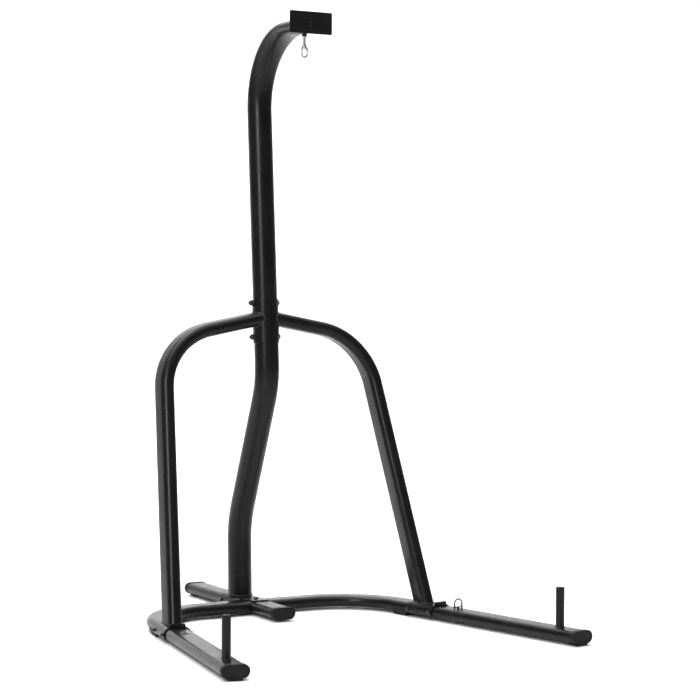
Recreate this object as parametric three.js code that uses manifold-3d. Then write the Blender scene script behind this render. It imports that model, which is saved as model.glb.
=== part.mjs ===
// Free-standing stand for a heavy punching bag.
// Millimetres, +Z up, the open front of the stand faces -Y. The origin is on the floor, at the
// middle of the bounding box. Every y below is written from the hub of the post, then moved by Y_SHIFT.
import * as THREE from 'three';
import { mergeVertices } from 'three/addons/utils/BufferGeometryUtils.js';
import Module from 'manifold-3d';

const wasm = await Module();
wasm.setup();

// ---- driving dimensions -------------------------------------------------------------------
const GAP = 0.3;                 // between pieces that touch
const POST = { radius: 42, wall: 2.5, lean: 4, hubZ: 994 };
const JOINT_Z = 1014;            // where the upper post sits on the lower one
const S_BEND = { topZ: 805, y: 200.4, z: 305.4, radii: [280, 315] };
const NECK = { z: 1993, bend: 243, endY: -314, flatZ: 0.57, flatX: 1.28 };
const PLATE = { width: 157, height: 73, thick: 4, top: 2034 };
const SADDLE = { from: 940, to: 1089, thick: 2.6, slit: 5 };
const ARM = { z: 1028.7, y: 6, half: [43, 23.5], wall: 2.2, cornerX: 383, cornerZ: 956, bend: 225 };
const FOOT = { x: 480.5, y: -286.5 };                // where a side tube stands on its leg
const BASE = { half: [42, 19], wall: 2, bottom: 9 };  // flat-oval floor tubes
const LEG_END = { x: 611, y: -1002 };
const ARC = { y: 70, bend: 260 };
const POST_FOOT = { y: 193, front: -138, rear: 560 };
const BRACKET = { thick: 4, length: 130, drop: 33, lip: 11, lipHalf: 27, bolts: 53 };
const PEG = { radius: 14, wall: 2, top: 176, setback: 99 };
const EYE = { setback: 152, half: 14.5, height: 37, wire: 2.6, bar: 8 };
const CAP = { thick: 1.5, end: 3, sleeve: 16, footTop: 26, footBottom: 19, footLength: 43 };
const CRADLE = { from: 136, to: 70, top: 44, bottom: 37 };
const HOOK = { y: -272, half: 9.8, top: 1920.6, bottom: 1889.2, wire: 3.2, pinZ: 1911, nose: 1899.2 };

const BASE_Z = BASE.bottom + BASE.half[1];
const BASE_TOP = BASE_Z + BASE.half[1];
const SEAT_Z = BASE_TOP + GAP + BRACKET.thick + GAP;   // what stands on a bracket starts here
const V = (x, y, z) => new THREE.Vector3(x, y, z);
const LEG_DIR = V(LEG_END.x - FOOT.x, LEG_END.y - FOOT.y, 0).normalize();
const FRONT = LEG_END.y + CAP.end * LEG_DIR.y - (BASE.half[0] + CAP.thick + 0.3) * LEG_DIR.x;
const Y_SHIFT = -(FRONT + POST_FOOT.rear + CAP.end) / 2;

// ---- materials ----------------------------------------------------------------------------
const paint = (name, color, roughness, metalness) =>
  Object.assign(new THREE.MeshStandardMaterial({ color, roughness, metalness }), { name });
const BLACK_COAT = paint('black_powder_coat', 0x1b1b1d, 0.42, 0.1);
const BLACK_PLASTIC = paint('black_plastic', 0x0d0d0e, 0.55, 0);
const ZINC = paint('zinc_plated_steel', 0xb9bcc0, 0.32, 0.9);
const DARK_ZINC = paint('black_oxide_steel', 0x2a2b2e, 0.4, 0.7);

const group = new THREE.Group();
group.name = 'punching_bag_stand';

// ---- helpers ------------------------------------------------------------------------------
const rad = THREE.MathUtils.degToRad;
const X = V(1, 0, 0), Y = V(0, 1, 0), Z = V(0, 0, 1);
const onPost = (z) => V(0, (z - POST.hubZ) * Math.tan(rad(POST.lean)), z);

/** A closed geometry as a manifold solid. */
function solid(geometry) {
  const plain = new THREE.BufferGeometry();
  plain.setAttribute('position', geometry.getAttribute('position'));
  if (geometry.index) plain.setIndex(geometry.index);
  const welded = mergeVertices(plain, 1e-4);
  return new wasm.Manifold(new wasm.Mesh({
    numProp: 3,
    vertProperties: new Float32Array(welded.getAttribute('position').array),
    triVerts: new Uint32Array(welded.index.array),
  }));
}

/** Adds a solid to the group as one named mesh, or its mirror image in the plane x = 0. */
function piece(name, shape, material, mirrored = false) {
  const { vertProperties, triVerts } = shape.getMesh();
  const geometry = new THREE.BufferGeometry();
  geometry.setAttribute('position', new THREE.BufferAttribute(new Float32Array(vertProperties), 3));
  const corners = new Uint32Array(triVerts);
  if (mirrored) {
    geometry.scale(-1, 1, 1);
    corners.reverse();
  }
  geometry.setIndex(new THREE.BufferAttribute(corners, 1));
  const flat = geometry.toNonIndexed();
  flat.computeVertexNormals();
  const mesh = new THREE.Mesh(flat, material);
  mesh.name = name;
  mesh.position.y = Y_SHIFT;
  group.add(mesh);
}

/** A solid built on the +X side and its mirror image. */
function pair(name, shape, material) {
  piece('right_' + name, shape, material);
  piece('left_' + name, shape, material, true);
}

/** Flat oval with half sizes a along x and b along y. */
function oval(a, b) {
  const s = new THREE.Shape(), d = Math.abs(a - b), q = Math.PI / 2;
  if (a > b) s.absarc(d, 0, b, -q, q).absarc(-d, 0, b, q, 3 * q);
  else s.absarc(0, d, a, 0, 2 * q).absarc(0, -d, a, 2 * q, 4 * q);
  return s;
}
const ovalRing = (a, b, wall) => {
  const s = oval(a, b);
  s.holes.push(oval(a - wall, b - wall));
  return s;
};
const disc = (r) => new THREE.Shape().absarc(0, 0, r, 0, Math.PI * 2, false);
const ringShape = (r, wall) => {
  const s = disc(r);
  s.holes.push(disc(r - wall));
  return s;
};

/** A route through corners, each rounded with its own radius, with stations only where it bends. */
class Route extends THREE.Curve {
  constructor(corners, radii, wide, step = 9) {
    super();
    this.points = [corners[0].clone()];
    this.tangents = [corners[1].clone().sub(corners[0]).normalize()];
    this.turned = [0];
    for (let i = 1; i < corners.length - 1; i++) {
      const d = corners[i].clone().sub(corners[i - 1]).normalize();
      const e = corners[i + 1].clone().sub(corners[i]).normalize();
      const turn = d.angleTo(e), reach = radii[i - 1] * Math.tan(turn / 2);
      const inward = e.clone().addScaledVector(d, -e.dot(d)).normalize();
      const start = corners[i].clone().addScaledVector(d, -reach);
      const n = Math.ceil(THREE.MathUtils.radToDeg(turn) / step);
      for (let k = 0; k <= n; k++) {
        const a = (turn * k) / n;
        this.points.push(start.clone().addScaledVector(d, radii[i - 1] * Math.sin(a))
          .addScaledVector(inward, radii[i - 1] * (1 - Math.cos(a))));
        this.tangents.push(d.clone().multiplyScalar(Math.cos(a)).addScaledVector(inward, Math.sin(a)));
        this.turned.push(k / n);
      }
    }
    this.points.push(corners.at(-1).clone());
    this.tangents.push(this.tangents.at(-1).clone());
    this.turned.push(this.turned.at(-1));
    this.wide = wide;
    this.swell = () => [1, 1];
  }
  getSpacedPoints() { return this.points; }
  computeFrenetFrames() {
    const normals = [], binormals = [];
    this.tangents.forEach((t, i) => {
      const n = this.wide.clone().addScaledVector(t, -this.wide.dot(t)).normalize();
      const [sn, sb] = this.swell(this.turned[i]);
      binormals.push(t.clone().cross(n).multiplyScalar(sb));
      normals.push(n.multiplyScalar(sn));
    });
    return { tangents: this.tangents, normals, binormals };
  }
}

/** The section swept along the route. */
function sweep(shape, route, curveSegments = 12) {
  const steps = route.points.length - 1;
  return solid(new THREE.ExtrudeGeometry(shape, { steps, extrudePath: route, curveSegments }));
}
const straight = (shape, from, to, wide, curveSegments) =>
  sweep(shape, new Route([from, to], [], wide), curveSegments);
const rod = (r, from, to, segments = 5) =>
  straight(disc(r), from, to, Math.abs(to.clone().sub(from).normalize().z) > 0.9 ? X : Z, segments);
const hexShape = (acrossFlats) => {
  const r = acrossFlats / Math.sqrt(3);
  return new THREE.Shape(Array.from({ length: 6 }, (_, i) =>
    new THREE.Vector2(r * Math.cos(rad(60 * i)), r * Math.sin(rad(60 * i)))));
};
const hex = (flats, from, to) =>
  straight(hexShape(flats), from, to, Math.abs(to.clone().sub(from).normalize().z) > 0.9 ? X : Z);
const box = (from, to) => {
  const g = new THREE.BoxGeometry(to.x - from.x, to.y - from.y, to.z - from.z);
  return solid(g.translate((to.x + from.x) / 2, (to.y + from.y) / 2, (to.z + from.z) / 2));
};
const ringOn = (r, bore, from, to, segments = 6) => {
  const s = disc(r);
  s.holes.push(disc(bore));
  return straight(s, from, to, Math.abs(to.clone().sub(from).normalize().z) > 0.9 ? X : Z, segments);
};

// ---- main post ----------------------------------------------------------------------------
const postRing = ringShape(POST.radius, POST.wall);
const neckCorner = onPost(NECK.z);
const neckRoute = new Route(
  [onPost(JOINT_Z + GAP), neckCorner, V(0, NECK.endY, NECK.z)], [NECK.bend], X, 9.5);
neckRoute.swell = (t) => {
  const k = t ** 1.5;
  return [1 + (NECK.flatX - 1) * k, 1 + (NECK.flatZ - 1) * k];
};
let upperPost = sweep(postRing, neckRoute, 10);
let lowerPost = sweep(postRing, new Route(
  [onPost(JOINT_Z - GAP), onPost(S_BEND.topZ), V(0, S_BEND.y, S_BEND.z), V(0, POST_FOOT.y, SEAT_Z - 10)],
  S_BEND.radii, X, 11), 10).subtract(box(V(-90, 90, 0), V(90, 300, SEAT_Z)));
const liner = (r, wall, a, b) => straight(ringShape(r, wall), onPost(a), onPost(b), X, 10);
let joint = liner(POST.radius - POST.wall - GAP, 3, SADDLE.from + 6, SADDLE.to - 6);

// ---- saddles and side tubes ---------------------------------------------------------------
const saddleInner = POST.radius + GAP, saddleOuter = saddleInner + SADDLE.thick;
const slitBox = box(V(-SADDLE.slit, -60, 900), V(SADDLE.slit, 60, 1140));
const halfSpace = box(V(SADDLE.slit, -80, 900), V(80, 80, 1140));
let saddle = straight(ringShape(saddleOuter, SADDLE.thick), onPost(SADDLE.from), onPost(SADDLE.to), X, 10)
  .subtract(slitBox).intersect(halfSpace);
const armSection = ovalRing(ARM.half[0], ARM.half[1], ARM.wall);
const armRoute = new Route([
  V(0, ARM.y, ARM.z), V(ARM.cornerX, ARM.y, ARM.cornerZ), V(FOOT.x, FOOT.y, BASE_TOP - 60),
], [ARM.bend], Y, 11);
const floorSide = box(V(300, -500, -80), V(700, 0, SEAT_Z));
const sideTube = sweep(armSection, armRoute, 5)
  .subtract(rod(saddleOuter + GAP, onPost(900), onPost(1140), 10))
  .subtract(box(V(-60, -90, 900), V(SADDLE.slit, 90, 1140)))
  .subtract(floorSide);

// Two bolts clamp the saddles on the post, parallel to X.
const saddleBoltZ = [SADDLE.from + 21, SADDLE.to - 11.5];
const boltBore = 5 + GAP;
for (const z of saddleBoltZ) {
  const at = onPost(z), bore = rod(boltBore, at.clone().setX(-90), at.clone().setX(90));
  upperPost = upperPost.subtract(bore);
  lowerPost = lowerPost.subtract(bore);
  joint = joint.subtract(bore);
  saddle = saddle.subtract(bore);
}
piece('post_joint_liner', joint, DARK_ZINC);
pair('saddle', saddle, BLACK_COAT);
pair('side_tube', sideTube, BLACK_COAT);
saddleBoltZ.forEach((z, i) => {
  const place = ['lower', 'upper'][i], at = onPost(z);
  const x = (v) => at.clone().setX(v);
  const seat = saddleOuter + 1;
  piece(`${place}_saddle_bolt`, rod(5, x(-seat - 15), x(seat + 1)).add(hex(17, x(seat), x(seat + 6))),
    DARK_ZINC);
  piece(`${place}_saddle_washer`, ringOn(10.5, boltBore, x(-seat), x(-seat - 2.2)), DARK_ZINC);
  const nutFrom = x(-seat - 2.5), nutTo = x(-seat - 11);
  piece(`${place}_saddle_cap_nut`, hex(17, nutFrom, nutTo).add(rod(7, x(-seat - 10), x(-seat - 18)))
    .subtract(rod(boltBore, x(-seat), x(-seat - 15.5))), DARK_ZINC);
});

// ---- gooseneck end: plate, stem and snap hook -----------------------------------------------
const plateShape = new THREE.Shape();
const pw = PLATE.width / 2, chamfer = 4, low = PLATE.top - PLATE.height;
plateShape.moveTo(-pw + chamfer, low).lineTo(pw - chamfer, low).lineTo(pw, low + chamfer)
  .lineTo(pw, PLATE.top - chamfer).lineTo(pw - chamfer, PLATE.top).lineTo(-pw + chamfer, PLATE.top)
  .lineTo(-pw, PLATE.top - chamfer).lineTo(-pw, low + chamfer).closePath();
piece('hanger_plate', solid(new THREE.ExtrudeGeometry(plateShape, { depth: PLATE.thick, bevelEnabled: false })
  .rotateX(Math.PI / 2).translate(0, NECK.endY - GAP, 0)), BLACK_COAT);

const hung = (x, z, y = 0) => V(x, HOOK.y + y, z);
const neckHalf = POST.radius * NECK.flatZ;
const under = NECK.z - neckHalf - GAP, over = NECK.z + neckHalf + GAP;
upperPost = upperPost.subtract(rod(5 + GAP, hung(0, 1960), hung(0, 2040)));
piece('upper_post', upperPost, BLACK_COAT);
piece('lower_post', lowerPost, BLACK_COAT);

const collarFrom = HOOK.top - HOOK.wire - 1, collarTo = HOOK.top + HOOK.wire + 5;
piece('hanger_stem', rod(5, hung(0, collarTo + GAP), hung(0, over + 4), 8)
  .add(hex(17, hung(0, over + 3), hung(0, over + 9.5)))
  .add(rod(3.2, hung(0, collarFrom - 2), hung(0, collarTo + 1), 8))
  .add(rod(5.2, hung(0, collarFrom - 3), hung(0, collarFrom - GAP), 8)), ZINC);
piece('hanger_upper_washer', ringOn(10.5, 5 + GAP, hung(0, over), hung(0, over + 2.5)), DARK_ZINC);
piece('hanger_lower_washer', ringOn(10.5, 5 + GAP, hung(0, under - 2.5), hung(0, under)), DARK_ZINC);
piece('hanger_lock_nut', hex(17, hung(0, under - 12), hung(0, under - 2.8))
  .subtract(rod(5 + GAP, hung(0, under - 13), hung(0, under - 2))), DARK_ZINC);

// Snap hook: an open oval of round wire with a swivel collar on top and a sprung gate on one side.
const slotTop = HOOK.pinZ + 3.2, shoulder = HOOK.pinZ - 2.5;
const hookRoute = new Route([
  hung(HOOK.half, shoulder), hung(HOOK.half, HOOK.top), hung(-HOOK.half, HOOK.top),
  hung(-HOOK.half, HOOK.bottom), hung(HOOK.half, HOOK.bottom), hung(HOOK.half, HOOK.nose),
], [5, 5, 9.5, 9.5], Y, 18);
const pinBore = rod(1.2 + 0.15, hung(HOOK.half, HOOK.pinZ, -8), hung(HOOK.half, HOOK.pinZ, 8));
piece('snap_hook_body', sweep(disc(HOOK.wire), hookRoute, 5)
  .add(rod(7, hung(0, collarFrom), hung(0, collarTo), 8))
  .subtract(rod(3.2 + GAP, hung(0, collarFrom - 1), hung(0, collarTo + 1), 8))
  .subtract(box(hung(HOOK.half - 5, shoulder - 1, -1.3), hung(HOOK.half + 5, slotTop, 1.3)))
  .subtract(pinBore), ZINC);
piece('snap_gate', rod(2.6, hung(HOOK.half, HOOK.nose + 0.5), hung(HOOK.half, shoulder - 2.4))
  .add(box(hung(HOOK.half - 1.6, HOOK.nose + 5, -1), hung(HOOK.half + 1.6, HOOK.pinZ, 1)))
  .add(rod(2.1, hung(HOOK.half, HOOK.pinZ, -1), hung(HOOK.half, HOOK.pinZ, 1)))
  .subtract(pinBore), ZINC);
piece('snap_gate_pin', rod(1.2, hung(HOOK.half, HOOK.pinZ, -3.6), hung(HOOK.half, HOOK.pinZ, 3.6)), ZINC);

// ---- floor frame --------------------------------------------------------------------------
const baseRing = ovalRing(BASE.half[0], BASE.half[1], BASE.wall);
const baseOuter = oval(BASE.half[0] + GAP, BASE.half[1] + GAP);
const acrossOf = (dir) => Z.clone().cross(dir);
const along = (origin, dir, d) => origin.clone().addScaledVector(dir, d);
const foot = V(FOOT.x, FOOT.y, BASE_Z), legEnd = V(LEG_END.x, LEG_END.y, BASE_Z);
const legAcross = acrossOf(LEG_DIR);
const vertical = (p, r, from, to, segments) =>
  rod(r, p.clone().setZ(from), p.clone().setZ(to), segments);

/** A hexagon bolt along dir through a floor tube, with its head on the side that dir comes from. */
const sideSeat = BASE.half[0] + GAP + BRACKET.thick + GAP;
const sideBolt = (p, dir) => rod(4, along(p, dir, -sideSeat - 1), along(p, dir, sideSeat + 8.5))
  .add(hex(13, along(p, dir, -sideSeat - 5.5), along(p, dir, -sideSeat)));
const sideNut = (p, dir) => hex(13, along(p, dir, sideSeat), along(p, dir, sideSeat + 6.5))
  .subtract(sideBore(p, dir));
const sideBore = (p, dir) => rod(4 + GAP, along(p, dir, -80), along(p, dir, 80));
const underNut = (p, r = 4) =>
  hex(13, p.clone().setZ(BASE.bottom - GAP - 6.5), p.clone().setZ(BASE.bottom - GAP))
    .subtract(vertical(p, r + GAP, 0, BASE.bottom));

const boltSpots = [-BRACKET.bolts, BRACKET.bolts].map((d) => along(foot, LEG_DIR, d));
const pegSpot = along(legEnd, LEG_DIR, -PEG.setback);
const eyeSpot = along(foot, LEG_DIR, EYE.setback);
const arcSide = (s) => V(s * FOOT.x, FOOT.y, BASE_Z);
const cornerX = FOOT.x - (LEG_DIR.x / -LEG_DIR.y) * (ARC.y - FOOT.y);
const arcRoute = new Route(
  [arcSide(1), V(cornerX, ARC.y, BASE_Z), V(-cornerX, ARC.y, BASE_Z), arcSide(-1)],
  [ARC.bend, ARC.bend], Z, 13);
let leg = straight(baseRing, along(foot, LEG_DIR, GAP), legEnd, legAcross, 5);
let arc = sweep(ovalRing(BASE.half[1], BASE.half[0], BASE.wall), arcRoute, 5);
const sleeveHalf = BASE.half.map((h) => h - BASE.wall - GAP);
let sleeve = straight(
  ovalRing(...sleeveHalf, 2), along(foot, LEG_DIR, -46), along(foot, LEG_DIR, 46), legAcross, 4);

/** Channel plate that straddles a floor tube: the upper part of an oval shell. */
function straddle(from, to, across) {
  const shell = oval(...BASE.half.map((h) => h + GAP + BRACKET.thick));
  shell.holes.push(baseOuter);
  const body = straight(shell, from, to, across, 5);
  const cut = BASE_TOP - BRACKET.drop;
  return body.subtract(box(V(-900, -1200, -50), V(900, 900, cut)));
}
const halfBracket = BRACKET.length / 2, lipFoot = along(foot, LEG_DIR, halfBracket);
const lipShape = new THREE.Shape();
const lipFrom = BASE_TOP + GAP + 1 - BASE_Z, lipTo = SEAT_Z - GAP + BRACKET.lip - BASE_Z;
lipShape.moveTo(-BRACKET.lipHalf, lipFrom).lineTo(-BRACKET.lipHalf, lipTo - 5)
  .lineTo(5 - BRACKET.lipHalf, lipTo).lineTo(BRACKET.lipHalf - 5, lipTo)
  .lineTo(BRACKET.lipHalf, lipTo - 5).lineTo(BRACKET.lipHalf, lipFrom).closePath();
let footBracket = straddle(along(foot, LEG_DIR, -halfBracket), lipFoot, legAcross)
  .add(straight(lipShape, along(lipFoot, LEG_DIR, -3), lipFoot, legAcross));
const flipped = (v) => v.clone().setX(-v.x);
for (const p of boltSpots) {
  const bore = sideBore(p, legAcross);
  leg = leg.subtract(bore);
  arc = arc.subtract(bore).subtract(sideBore(flipped(p), flipped(legAcross)));
  sleeve = sleeve.subtract(bore);
  footBracket = footBracket.subtract(bore);
}
leg = leg.subtract(vertical(pegSpot, 4 + GAP, 0, 90)).subtract(vertical(eyeSpot, 4 + GAP, 0, 90));
pair('base_leg', leg, BLACK_COAT);
pair('leg_joint_sleeve', sleeve, DARK_ZINC);
pair('foot_bracket', footBracket, BLACK_COAT);
boltSpots.forEach((p, i) => {
  pair(['rear', 'front'][i] + '_bracket_bolt', sideBolt(p, legAcross), DARK_ZINC);
  pair(['rear', 'front'][i] + '_bracket_nut', sideNut(p, legAcross), DARK_ZINC);
});

// The foot bar under the post meets the arc from both sides.
const arcPrism = straight(baseOuter, V(-60, ARC.y, BASE_Z), V(60, ARC.y, BASE_Z), Y.clone().negate(), 5);
const crossing = V(0, ARC.y, BASE_Z);
const frontEnd = V(0, POST_FOOT.front, BASE_Z), rearEnd = V(0, POST_FOOT.rear, BASE_Z);
const frontStub = straight(baseRing, crossing, frontEnd, X, 5).subtract(arcPrism);
let rearBar = straight(baseRing, crossing, rearEnd, X.clone().negate(), 5).subtract(arcPrism);
const behindArc = ARC.y + BASE.half[0] + GAP + 4;
let postBracket = straddle(V(0, behindArc, BASE_Z), V(0, POST_FOOT.y + 75, BASE_Z), X.clone().negate())
  .add(box(V(-30, ARC.y - 40, BASE_TOP + GAP), V(30, behindArc + 8, BASE_TOP + GAP + BRACKET.thick)));
// One bolt goes across the bar behind the post, one goes down through the arc in front of it.
const rearSpot = V(0, POST_FOOT.y + 58, BASE_Z), archBore = vertical(crossing, 4 + GAP, 0, 90);
rearBar = rearBar.subtract(sideBore(rearSpot, X));
arc = arc.subtract(archBore);
postBracket = postBracket.subtract(sideBore(rearSpot, X)).subtract(archBore);
piece('base_arc', arc, BLACK_COAT);
piece('front_foot_stub', frontStub, BLACK_COAT);
piece('rear_foot_bar', rearBar, BLACK_COAT);
piece('post_foot_bracket', postBracket, BLACK_COAT);
piece('post_foot_rear_bolt', sideBolt(rearSpot, X), DARK_ZINC);
piece('post_foot_rear_nut', sideNut(rearSpot, X), DARK_ZINC);
piece('post_foot_front_bolt', vertical(crossing, 4, 1.2, SEAT_Z + 1)
  .add(hex(13, crossing.clone().setZ(SEAT_Z), crossing.clone().setZ(SEAT_Z + 5.5))), DARK_ZINC);
piece('post_foot_front_nut', underNut(crossing), DARK_ZINC);

/** Plastic boot over a tube end, and the tapered foot below it that stands on the floor. */
function endCap(end, dir) {
  const across = acrossOf(dir), at = (d) => along(end, dir, d), outer = GAP + CAP.thick;
  return straight(oval(BASE.half[0] + outer, BASE.half[1] + outer), at(-CAP.sleeve), at(CAP.end), across, 5)
    .subtract(straight(baseOuter, at(-CAP.sleeve - 1), at(GAP), across, 5));
}
function capFoot(end, dir) {
  const top = BASE.bottom - GAP - BASE_Z, pad = new THREE.Shape();
  pad.moveTo(-CAP.footTop, top).lineTo(-CAP.footBottom, -BASE_Z).lineTo(CAP.footBottom, -BASE_Z)
    .lineTo(CAP.footTop, top).closePath();
  return straight(pad, along(end, dir, -CAP.footLength), along(end, dir, CAP.end), acrossOf(dir));
}
pair('leg_end_cap', endCap(legEnd, LEG_DIR).add(capFoot(legEnd, LEG_DIR)), BLACK_PLASTIC);
piece('front_stub_end_cap', endCap(frontEnd, V(0, -1, 0)), BLACK_PLASTIC);
piece('rear_bar_end_cap', endCap(rearEnd, Y).add(capFoot(rearEnd, Y)), BLACK_PLASTIC);

// Cradle feet under the arc where it meets the legs.
const cradleTop = -6, cradleShape = new THREE.Shape();
cradleShape.moveTo(-CRADLE.top, cradleTop).lineTo(-CRADLE.bottom, -BASE_Z)
  .lineTo(CRADLE.bottom, -BASE_Z).lineTo(CRADLE.top, cradleTop).closePath();
const cradleFrom = along(foot, LEG_DIR, -CRADLE.from), cradleTo = along(foot, LEG_DIR, -CRADLE.to);
pair('corner_foot', straight(cradleShape, cradleFrom, cradleTo, legAcross)
  .subtract(straight(baseOuter, along(cradleFrom, LEG_DIR, -1), along(cradleTo, LEG_DIR, 1), legAcross, 5)),
  BLACK_PLASTIC);

// ---- weight pegs and tether eyes ------------------------------------------------------------
const pegBase = BASE_TOP + GAP, pegAt = (z) => pegSpot.clone().setZ(z);
pair('weight_peg', rod(PEG.radius, pegAt(pegBase), pegAt(PEG.top - 4), 8)
  .subtract(rod(PEG.radius - PEG.wall, pegAt(pegBase + 10), pegAt(PEG.top), 8))
  .subtract(rod(4 + GAP, pegAt(0), pegAt(PEG.top))), BLACK_COAT);
pair('peg_plug', rod(PEG.radius, pegAt(PEG.top - 4 + GAP), pegAt(PEG.top), 8)
  .add(rod(PEG.radius - PEG.wall - GAP, pegAt(PEG.top - 14), pegAt(PEG.top - 3), 8)), BLACK_PLASTIC);
pair('peg_bolt', vertical(pegSpot, 4, BASE.bottom - 2, pegBase + 16)
  .add(hex(13, pegAt(BASE.bottom - GAP - 5.5), pegAt(BASE.bottom - GAP))), DARK_ZINC);

// The right leg carries a bow eye for a tether, the left leg a plain round-head bolt in its place.
const eyeAt = (z) => eyeSpot.clone().setZ(z);
const eyeCorner = (dx, z) => eyeAt(z).add(V(dx, 0, 0)), eyeTop = BASE_TOP + EYE.height - EYE.wire;
const bow = new Route([
  eyeCorner(-EYE.half, BASE_TOP + GAP), eyeCorner(-EYE.half, eyeTop),
  eyeCorner(EYE.half, eyeTop), eyeCorner(EYE.half, BASE_TOP + GAP),
], [EYE.half, EYE.half], Y, 18);
const barEnd = V(EYE.half + 4, 4, 1.3), barMid = eyeAt(BASE_TOP + EYE.bar);
piece('right_tether_eye_bolt', sweep(disc(EYE.wire), bow, 4)
  .add(box(barMid.clone().sub(barEnd), barMid.clone().add(barEnd)))
  .add(rod(4, eyeAt(1.2), eyeAt(BASE_TOP + EYE.bar))), DARK_ZINC);
piece('right_tether_eye_nut', underNut(eyeSpot), DARK_ZINC);
piece('left_spare_bolt', rod(4, eyeAt(1.2), eyeAt(BASE_TOP + 6))
  .add(rod(6.5, eyeAt(BASE_TOP + GAP + 2.3), eyeAt(BASE_TOP + GAP + 6.5), 6)), DARK_ZINC, true);
piece('left_spare_washer', ringOn(12.5, 4 + GAP, eyeAt(BASE_TOP + GAP), eyeAt(BASE_TOP + GAP + 2), 8),
  ZINC, true);
piece('left_spare_nut', underNut(eyeSpot), DARK_ZINC, true);

export default group;
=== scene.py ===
"""Looks of the free-standing heavy-bag stand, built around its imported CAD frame. Lengths are millimetres
until a mesh is made, and y counts from the hub of the post, as in the CAD source."""
import math

import bmesh
import bpy
from mathutils import Matrix, Vector


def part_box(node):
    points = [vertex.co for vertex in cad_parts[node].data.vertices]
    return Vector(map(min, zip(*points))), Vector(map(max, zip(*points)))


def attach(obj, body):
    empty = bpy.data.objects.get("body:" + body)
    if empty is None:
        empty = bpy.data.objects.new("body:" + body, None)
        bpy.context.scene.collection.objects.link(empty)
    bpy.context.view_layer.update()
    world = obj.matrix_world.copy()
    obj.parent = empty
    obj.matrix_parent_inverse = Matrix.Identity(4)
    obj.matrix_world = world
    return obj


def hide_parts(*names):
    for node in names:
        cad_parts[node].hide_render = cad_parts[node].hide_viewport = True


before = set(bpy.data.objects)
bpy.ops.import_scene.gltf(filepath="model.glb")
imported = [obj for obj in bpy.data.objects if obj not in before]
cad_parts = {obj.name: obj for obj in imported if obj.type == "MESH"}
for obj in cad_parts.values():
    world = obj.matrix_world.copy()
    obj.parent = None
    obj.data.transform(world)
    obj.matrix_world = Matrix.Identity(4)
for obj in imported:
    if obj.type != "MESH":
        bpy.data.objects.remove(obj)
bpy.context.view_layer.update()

# ---- driving dimensions, millimetres ----------------------------------------------------------
GAP = 0.3
POST_R, POST_LEAN, HUB_Z, JOINT_Z = 42, math.radians(4), 994, 1014
S_BEND_TOP_Z, S_BEND, S_RADII, POST_FOOT_Y = 805, (0, 200.4, 305.4), (280, 315), 193
NECK_Z, NECK_BEND, NECK_END_Y, FLAT_Z, FLAT_X = 1993, 243, -314, 0.57, 1.28
PLATE_W, PLATE_H, PLATE_T, PLATE_TOP = 157, 73, 4, 2034
SADDLE_Z, SADDLE_T, SLIT = (940, 1089), 2.6, 5
ARM_Z, ARM_Y, ARM_HALF, ARM_CORNER, ARM_BEND = 1028.7, 6, (43, 23.5), (383, 956), 225
FOOT_X, FOOT_Y, LEG_END_X, LEG_END_Y = 480.5, -286.5, 611, -1002
BASE_HALF, BASE_BOTTOM = (42, 19), 9
ARC_Y, ARC_BEND, STUB_FRONT, BAR_REAR = 70, 260, -138, 560
BRACKET_T, BRACKET_HALF, BRACKET_DROP, BRACKET_LIP, LIP_HALF, BOLT_OFF = 4, 65, 33, 11, 27, 53
PEG_R, PEG_TOP, PEG_SETBACK = 14, 176, 99
EYE_SETBACK, EYE_HALF, EYE_HEIGHT, EYE_WIRE, EYE_BAR = 152, 14.5, 37, 2.6, 8
CAP_T, CAP_END, CAP_SLEEVE, PAD_TOP, PAD_BOTTOM, PAD_LENGTH = 1.5, 3, 16, 26, 19, 43
HOOK_Y, HOOK_HALF, HOOK_TOP, HOOK_BOTTOM, HOOK_WIRE = -272, 9.8, 1920.6, 1889.2, 3.2
HOOK_PIN_Z, HOOK_NOSE = 1911, 1899.2
SMALL_HEX, LARGE_HEX = 13, 17

BASE_Z = BASE_BOTTOM + BASE_HALF[1]
BASE_TOP = BASE_Z + BASE_HALF[1]
SEAT_Z = BASE_TOP + 2 * GAP + BRACKET_T
SADDLE_R = POST_R + GAP + SADDLE_T
SIDE_SEAT = BASE_HALF[0] + 2 * GAP + BRACKET_T
Y_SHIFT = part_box("hanger_plate")[0].y * 1000 - (NECK_END_Y - GAP - PLATE_T)
X, Y, Z = Vector((1, 0, 0)), Vector((0, 1, 0)), Vector((0, 0, 1))
AXIS = Vector((0, math.sin(POST_LEAN), math.cos(POST_LEAN)))
LEG_DIR = Vector((LEG_END_X - FOOT_X, LEG_END_Y - FOOT_Y, 0)).normalized()
LEG_ACROSS = Z.cross(LEG_DIR)
FOOT = Vector((FOOT_X, FOOT_Y, BASE_Z))
LEG_END = Vector((LEG_END_X, LEG_END_Y, BASE_Z))


def on_post(z):
    return Vector((0, (z - HUB_Z) * math.tan(POST_LEAN), z))


def flip(v):
    return Vector((-v.x, v.y, v.z))


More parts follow.
